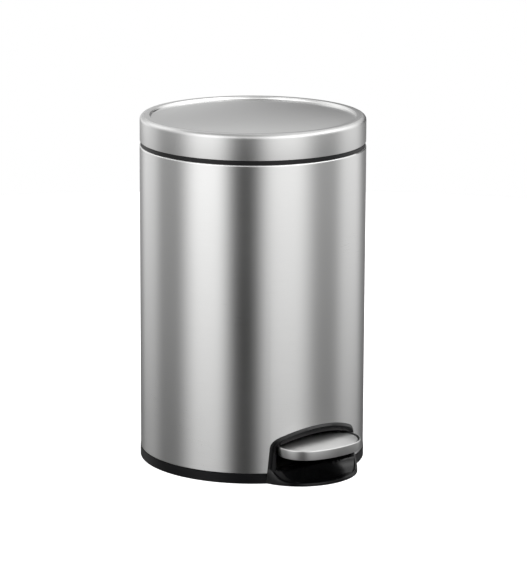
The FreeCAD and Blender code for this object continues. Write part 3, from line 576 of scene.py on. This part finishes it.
def arch_path(half_low, half_high, shoulder, corner_in, top, base):
    """Half-symmetric arch as (x, z) points from the left foot over the top to the right foot."""
    def arch_height(x):
        return top - ARCH_RADIUS + math.sqrt(ARCH_RADIUS ** 2 - x * x)

    left_top = Vector((-corner_in, arch_height(corner_in)))
    slope = corner_in / math.sqrt(ARCH_RADIUS ** 2 - corner_in ** 2)
    side = Vector((-half_high, shoulder))
    lean = (half_low - half_high) / (shoulder - base)
    rise = (left_top.y - slope * (left_top.x - side.x) - side.y) / (1 - slope * lean)
    control = Vector((side.x + lean * rise, side.y + rise))
    heights = spread(base, shoulder, SIDE_POINTS + 1)[:-1]
    left = [Vector((-half_low + lean * (z - base), z)) for z in heights]
    left += bezier(side, control, left_top, CORNER_POINTS)
    arch = [Vector((x, arch_height(x))) for x in spread(-corner_in, corner_in, ARCH_POINTS)]
    right = [Vector((-point.x, point.y)) for point in reversed(left)]
    return left + arch + right


def path_normals(path):
    """Directions to the inside of an arch that is walked from left to right over its top."""
    normals = []
    for index in range(len(path)):
        before = path[max(index - 1, 0)]
        after = path[min(index + 1, len(path) - 1)]
        along = (after - before).normalized()
        normals.append(Vector((along.y, -along.x)))
    normals[0] = Vector((1, 0))
    normals[-1] = Vector((-1, 0))
    return normals


def make_surround():
    """The raised arch round the pedal's slot: a bevelled outer edge, a sloping face and the slot's wall."""
    low, high = in_mm("pedal_housing")
    radius = in_mm("body_shell")[1].x
    outer = arch_path(SURROUND_HALF, SURROUND_SHOULDER, SHOULDER_HEIGHT,
                      SURROUND_SHOULDER - SHOULDER_CORNER, high.z, low.z)
    inner = arch_path(SLOT_HALF, SLOT_HALF, SHOULDER_HEIGHT - SLOT_SHOULDER_DROP,
                      SLOT_HALF - SLOT_CORNER, high.z - SLOT_TOP_MARGIN, low.z)

    def on_can(point, proud):
        reach = radius + proud
        return Vector((point.x, -math.sqrt(reach ** 2 - point.x ** 2), point.y))

    def stretch(edge, normal, section):
        return [on_can(edge + normal * inwards, proud) for inwards, proud in section]

    def build(bm):
        sections = []
        for edge, normal, slot, slot_normal in zip(outer, path_normals(outer), inner, path_normals(inner)):
            sections.append(stretch(edge, normal, BEVEL_SECTION) + stretch(slot, slot_normal, SLOT_SECTION)
                            + stretch(edge, normal, BACK_SECTION))
        loft(bm, sections)

    surround = new_piece("pedal_surround", build, "can", "housing_plastic")
    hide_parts("pedal_housing")


# ---- foot ---------------------------------------------------------------------------------------------

FOOT = RoundFront(front=152, half=63, front_radius=70, corner_radius=60)
FOOT_FIRST = math.radians(9)      # facing angle of its first section
FOOT_SECTIONS = 121
FOOT_LIP = 4.0           # height of the foot's rim at its front
FOOT_RISE_START = 134    # distance forward where the rim starts to rise towards the sides
FOOT_RISE_RADIUS = 18
FOOT_FLOOR = 2.2
SWEEP_START = 144        # distance forward where the scoop's floor starts to rise
SWEEP_RADIUS = 24
SLOT_LOW = 15.2          # height of the slot's lower edge
RIM_OVER_SLOT = 3        # how far the rim climbs past that edge
SCOOP_BACK = 108         # distance forward where the scoop's floor ends, inside the slot
SCOOP_LEAST = 3          # the scoop ends at least this far behind its rim
SCOOP_NARROWING = 0.8    # width of the scoop's end, as a share of its width at the rim
SCOOP_POINTS = 32
SCOOP_CROWDING = 1.4     # the scoop's points lie closer together near the rim
SCOOP_BLEND = 0.5        # height over which the scoop's wall melts into its floor
WALL_RUN = 11            # how far in the scoop's side wall rounds out into its floor
FLARE = (0.5, 1.6)       # how far the outer wall draws in, at the front and at the sides
RIM_WIDTH = (3.6, 2.0)   # at the front and at the sides
OUTER_WALL = [           # share of the flare, share of the height, drop
    (0.0, 0.0, 0.0), (0.0, 0.4, 0.0), (0.06, 0.7, 0.0), (0.3, 0.88, 0.0), (0.7, 0.95, 0.3),
]
RIM_OUTSIDE = [(0.1, 0.3), (0.7, 0.05)]     # distance in from the flare, drop
RIM_INSIDE = [(-0.7, 0.25), (0.0, 0.8)]     # distance in from the rim's inner edge, drop
RIM_DROP = RIM_INSIDE[-1][1]


def rim_height(forward):
    """Height of the foot's rim, which climbs towards the surround."""
    climb = max(0.0, FOOT_RISE_START - forward) ** 2 / (2 * FOOT_RISE_RADIUS)
    return min(FOOT_LIP + climb, SLOT_LOW + RIM_OVER_SLOT)


def scoop_height(forward):
    """Height of the scoop's floor, which sweeps up to the slot's lower edge."""
    if forward > SWEEP_START:
        return FOOT_FLOOR
    back = min(SWEEP_START - forward, SWEEP_RADIUS)
    return min(SLOT_LOW, FOOT_FLOOR + SWEEP_RADIUS - math.sqrt(SWEEP_RADIUS ** 2 - back ** 2))


def scoop_wall(distance, top):
    """Height of the scoop's rounded side wall at a distance inside the rim."""
    part = min(distance / WALL_RUN, 1.0)
    return FOOT_FLOOR + (top - FOOT_FLOOR) * (0.5 + 0.5 * math.cos(math.pi * part))


def smooth_max(one, other, blend):
    """The greater of two heights, rounded over where they are about equal."""
    return (one + other + math.hypot(one - other, blend)) / 2


def foot_section(angle, base):
    """The foot's closed section at a facing angle: outer wall, rim, scoop and end."""
    sideways = math.cos(angle) ** 2
    flare, width = (front + (side - front) * sideways for front, side in (FLARE, RIM_WIDTH))
    top = rim_height(FOOT.point(angle, flare).y)
    wall = [(share * flare, base + part * (top - base) - drop) for share, part, drop in OUTER_WALL]
    wall += [(flare + inwards, top - drop) for inwards, drop in RIM_OUTSIDE]
    wall += [(flare + width + inwards, top - drop) for inwards, drop in RIM_INSIDE]
    points = []
    for inset, height in wall:
        place = FOOT.point(angle, inset)
        points.append(Vector((place.x, -place.y, height)))
    start = FOOT.point(angle, flare + width)
    end = Vector((start.x * SCOOP_NARROWING, min(SCOOP_BACK, start.y - SCOOP_LEAST)))
    for part in spread(0, 1, SCOOP_POINTS + 1)[1:]:
        place = start.lerp(end, part ** SCOOP_CROWDING)
        side_wall = scoop_wall((place - start).length, top - RIM_DROP)
        height = smooth_max(scoop_height(place.y), side_wall, SCOOP_BLEND)
        points.append(Vector((place.x, -place.y, height)))
    points.append(Vector((end.x, -end.y, base)))
    return points


def make_foot():
    """The foot: a flared wall, a rounded rim that climbs to the surround, and the scoop inside it."""
    base = in_mm("pedal_housing")[0].z
    angles = spread(FOOT_FIRST, math.pi - FOOT_FIRST, FOOT_SECTIONS)
    new_piece("pedal_foot", lambda bm: loft(bm, [foot_section(angle, base) for angle in angles]),
              "can", "housing_plastic")


# ---- pedal --------------------------------------------------------------------------------------------

PEDAL = RoundFront(front=157, half=50.5, front_radius=100, corner_radius=32)
PEDAL_SIDE_END = 115     # distance forward where the sides curve in
PEDAL_NECK = 110         # distance forward where the curve ends, inside the slot
PEDAL_STEP = 4.2         # how far the sides curve in
PEDAL_WALL = 1.0
PEDAL_HEM = 0.3          # bevel on both sides of the skirt's lower edge
PEDAL_RIM = 1.1          # radius of the rim
PEDAL_RIM_POINTS = 6
PEDAL_TAPER = 1.2        # how far the skirt draws in at its bottom
PEDAL_GROOVE = [(1.3, -0.2), (1.7, -0.9), (2.2, -1.3)]     # distance in from the outline, height over the rim
PEDAL_DOME = 6.4         # height of the domed top over the groove inside its rim
PEDAL_HEART = 117        # distance forward of the dome's top
DOME_RINGS = 18
DOME_FIRST = 0.97        # size of the dome's first and last rings, as a share of the groove
DOME_LAST = 0.02
FRONT_POINTS = 73
NECK_POINTS = 12
PEDAL_SIDE_POINTS = 5
REAR_POINTS = 21


def pedal_ring(inset, height, rear):
    """One closed ring of the pedal's outline at a height, drawn in by an inset."""
    points = [PEDAL.point(angle, inset) for angle in spread(0, math.pi, FRONT_POINTS)]
    side = points[-1]
    neck = Vector((side.x + PEDAL_STEP, PEDAL_NECK))
    left = bezier(side, Vector((side.x, PEDAL_SIDE_END)), neck, NECK_POINTS)[1:]
    left += [Vector((neck.x, forward)) for forward in spread(neck.y, rear + inset, PEDAL_SIDE_POINTS)]
    right = [Vector((-point.x, point.y)) for point in reversed(left)]
    back = [Vector((x, rear + inset)) for x in spread(left[-1].x, right[0].x, REAR_POINTS)[1:-1]]
    return [Vector((point.x, -point.y, height)) for point in points + left + back + right]


def make_pedal_cap():
    """The pressed steel cap: a skirt, a rolled rim, a fine groove inside it and a gently domed top."""
    low, high = in_mm("pedal_cap")
    rear = -high.y
    edge = in_mm("pedal_core")[1].z + PEDAL_WALL
    skirt = [                # distance in from the outline and height, from inside to outside
        (PEDAL_WALL, edge - PEDAL_WALL),
        (PEDAL_TAPER + PEDAL_WALL, low.z + PEDAL_HEM),
        (PEDAL_TAPER + PEDAL_WALL - PEDAL_HEM, low.z),
        (PEDAL_TAPER + PEDAL_HEM, low.z),
        (PEDAL_TAPER, low.z + PEDAL_HEM),
    ]
    turns = spread(0, math.pi / 2, PEDAL_RIM_POINTS)
    rim = [(PEDAL_RIM * (1 - math.cos(turn)), edge - PEDAL_RIM * (1 - math.sin(turn))) for turn in turns]
    groove = [(inset, edge + rise) for inset, rise in PEDAL_GROOVE]

    def build(bm):
        rings = [pedal_ring(inset, height, rear) for inset, height in skirt + rim + groove]
        last = rings[-1]
        heart = Vector((0, -PEDAL_HEART, last[0].z))
        for share in spread(DOME_FIRST, DOME_LAST, DOME_RINGS):
            rise = Vector((0, 0, PEDAL_DOME * (1 - share ** 2)))
            rings.append([heart.lerp(point, share) + rise for point in last])
        loft(bm, rings)

    cap = new_piece("pedal_pressing", build, "pedal", "pedal_steel")
    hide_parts("pedal_cap")


# ---- camera -------------------------------------------------------------------------------------------

CAMERA_AZIMUTH = math.radians(-36.4)
CAMERA_HEIGHT = math.radians(13.28)
CAMERA_DISTANCE = 3.526
CAMERA_LENS = 196.4
CAMERA_SENSOR = 36
CAMERA_ROLL = math.radians(0.24)
AIM_RIGHT = 0.0123
AIM_DOWN = 0.0055
FARTHEST_SEEN = 50


def set_camera():
    """The camera stands in front on the left, a little above the lid, with the bin left of the middle."""
    low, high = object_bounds()
    middle = Vector((0, 0, (low.z + high.z) / 2))
    away = Vector((
        math.sin(CAMERA_AZIMUTH) * math.cos(CAMERA_HEIGHT),
        -math.cos(CAMERA_AZIMUTH) * math.cos(CAMERA_HEIGHT),
        math.sin(CAMERA_HEIGHT),
    ))
    right = Vector((math.cos(CAMERA_AZIMUTH), math.sin(CAMERA_AZIMUTH), 0))
    aim = middle + right * AIM_RIGHT - Vector((0, 0, AIM_DOWN))
    camera = bpy.data.objects.new("camera", bpy.data.cameras.new("camera"))
    bpy.context.scene.collection.objects.link(camera)
    camera.location = middle + away * CAMERA_DISTANCE
    turn = (aim - camera.location).to_track_quat("-Z", "Y")
    camera.rotation_euler = turn.to_euler()
    camera.rotation_euler.rotate_axis("Z", CAMERA_ROLL)
    camera.data.lens = CAMERA_LENS
    camera.data.sensor_width = CAMERA_SENSOR
    camera.data.clip_end = FARTHEST_SEEN
    bpy.context.scene.camera = camera


# ---- studio -------------------------------------------------------------------------------------------

STUDIO_SEGMENTS = 180
TENT_RADIUS = 1.5
TENT_LOW = -1.0
TENT_HIGH = 2.1
TENT_BASE = 0.43         # light of the bare tent
FULL = (-9, 9)           # a softbox of the tent's whole height
LOW = (-9, 0.75)         # one that doesn't show in the lid's rounded edge
BAND = (0.25, 0.60)      # one that only shows in the wall of the lid's step
HIGH = (1.20, 9)         # one that lights the upper bevels
# Azimuth from the camera in degrees, half width of its flat middle, width of its soft edge, brightness, and
# lowest and highest height. A softbox with a negative brightness is a dark panel.
SOFTBOXES = [
    (-46, 7, 29, 1.20, FULL),
    (33, 8, 30, 0.97, FULL),
    (-8, 7, 18, -0.45, LOW),
    (-126, 8, 20, 0.50, FULL),
    (115, 8, 24, 0.64, FULL),
    (180, 22, 30, -0.16, FULL),
    (155, 16, 22, -0.35, BAND),
    (-155, 16, 22, 0.60, BAND),
    (73, 20, 30, 1.60, HIGH),
]
FADE = 0.15              # half height of a softbox's soft upper and lower edges
# A change of light between two places: the first and the second place, and the light at each.
TENT_DIMMING = (-0.60, 0.20, 0.18, 1.15)    # a factor that darkens the tent towards the floor
UPPER_GLOW = (0.50, 1.10, 0.0, 0.80)        # light added to the tent above the bin
CEILING_LIGHT = (-0.2, 0.8, 0.55, 1.20)     # from the left to the right of the camera
FLOOR_RADIUS = 0.98 * TENT_RADIUS
FLOOR_COLOUR = (0.8, 0.8, 0.8, 1)
FLOOR_GLOW = 0.7
WHITE = (1, 1, 1, 1)
DIM = 0.12               # light from outside the tent


def distance_towards(nodes, axes, azimuth):
    """How far a point lies from the middle of the tent in a horizontal direction, an azimuth from -Y."""
    return nodes.math("ADD", nodes.math("MULTIPLY", axes["X"], math.sin(azimuth)),
                      nodes.math("MULTIPLY", axes["Y"], -math.cos(azimuth)))


def softbox(nodes, axes, azimuth, half, edge, brightness, heights):
    """Light that falls off smoothly on both sides of a direction round the tent and outside two heights."""
    forward = distance_towards(nodes, axes, CAMERA_AZIMUTH + math.radians(azimuth))
    angle = nodes.math("ARCCOSINE", nodes.math("DIVIDE", forward, TENT_RADIUS))
    across = nodes.ramp(angle, math.radians(half), math.radians(half + edge), brightness, 0.0)
    low, high = heights
    above = nodes.ramp(axes["Z"], low - FADE, low + FADE, 0.0, 1.0)
    below = nodes.ramp(axes["Z"], high - FADE, high + FADE, 1.0, 0.0)
    return nodes.math("MULTIPLY", across, nodes.math("MULTIPLY", above, below))


def tent_material():
    """Light that changes round the tent: a ring of softboxes with soft edges and a dark gap by the camera."""
    made, nodes = material("tent_light")
    axes = nodes.axes()
    light = TENT_BASE
    for box in SOFTBOXES:
        light = nodes.math("ADD", light, softbox(nodes, axes, *box))
    light = nodes.math("MULTIPLY", light, nodes.ramp(axes["Z"], *TENT_DIMMING))
    light = nodes.math("ADD", light, nodes.ramp(axes["Z"], *UPPER_GLOW))
    nodes.finish("ShaderNodeEmission", {"Strength": light})
    return made


def ceiling_material():
    """Light that brightens from the left to the right of the camera."""
    made, nodes = material("ceiling_light")
    sideways = distance_towards(nodes, nodes.axes(), CAMERA_AZIMUTH + math.pi / 2)
    nodes.finish("ShaderNodeEmission", {"Strength": nodes.ramp(sideways, *CEILING_LIGHT)})
    return made


def floor_material():
    """A pale matt floor that gives off a little light of its own."""
    made, nodes = material("pale_floor")
    nodes.finish("ShaderNodeBsdfPrincipled", {
        "Base Color": FLOOR_COLOUR, "Roughness": 0.9, "Specular IOR Level": 0.1,
        "Emission Color": WHITE, "Emission Strength": FLOOR_GLOW,
    })
    return made


def stage_object(name, mesh_maker, surface):
    """A thing of the studio, which isn't part of the bin."""
    thing = mesh_object(name, mesh_maker)
    thing.data.materials.append(surface)
    return thing


def make_studio():
    """A pale floor in a round light tent, which the camera sees only in reflections."""
    def ring(bm, height):
        verts = []
        for k in range(STUDIO_SEGMENTS):
            turn = 2 * math.pi * k / STUDIO_SEGMENTS
            verts.append(bm.verts.new((TENT_RADIUS * math.cos(turn), TENT_RADIUS * math.sin(turn), height)))
        return verts

    def wall(bm):
        lower = ring(bm, TENT_LOW)
        upper = ring(bm, TENT_HIGH)
        for k in range(STUDIO_SEGMENTS):
            following = (k + 1) % STUDIO_SEGMENTS
            bm.faces.new((lower[k], lower[following], upper[following], upper[k]))

    def disc(radius, height):
        def build(bm):
            bmesh.ops.create_circle(bm, cap_ends=True, radius=radius, segments=STUDIO_SEGMENTS)
            bmesh.ops.translate(bm, vec=(0, 0, height), verts=bm.verts)
        return build

    tent = stage_object("light_tent", wall, tent_material())
    ceiling = stage_object("light_ceiling", disc(TENT_RADIUS, TENT_HIGH), ceiling_material())
    floor = stage_object("floor", disc(FLOOR_RADIUS, 0), floor_material())
    for panel in (tent, ceiling):
        panel.visible_camera = False
        panel.visible_shadow = False
    floor.visible_glossy = False


def set_world():
    """Plain white behind the bin, and a dim grey in the reflections below the tent."""
    world = bpy.data.worlds.new("studio")
    world.use_nodes = True
    bpy.context.scene.world = world
    nodes = Nodes(world.node_tree)
    seen = nodes.add("ShaderNodeLightPath").outputs["Is Camera Ray"]
    white = nodes.add("ShaderNodeBackground", {"Color": WHITE, "Strength": 1.0})
    dim = nodes.add("ShaderNodeBackground", {"Color": WHITE, "Strength": DIM})
    mixed = nodes.add("ShaderNodeMixShader", {0: seen, 1: dim.outputs[0], 2: white.outputs[0]})
    nodes.add("ShaderNodeOutputWorld", {"Surface": mixed.outputs[0]})


# ---- the bin ------------------------------------------------------------------------------------------

for part in frame["record"]["subparts"]:
    dress(frame["nodes"][part["node"]], part["material_slot"])

lid = make_lid()
make_surround()
make_foot()
make_softened("hinge_block", "hinge_housing", "can", "hinge_plastic")
make_softened("hinge_roof", "lid_bracket", "lid", "hinge_plastic")
make_pedal_cap()
for piece, slot in PIECES:
    dress(piece, slot)
finish_lid_top(lid)

set_camera()
make_studio()
set_world()
bpy.context.scene.view_settings.view_transform = "Standard"
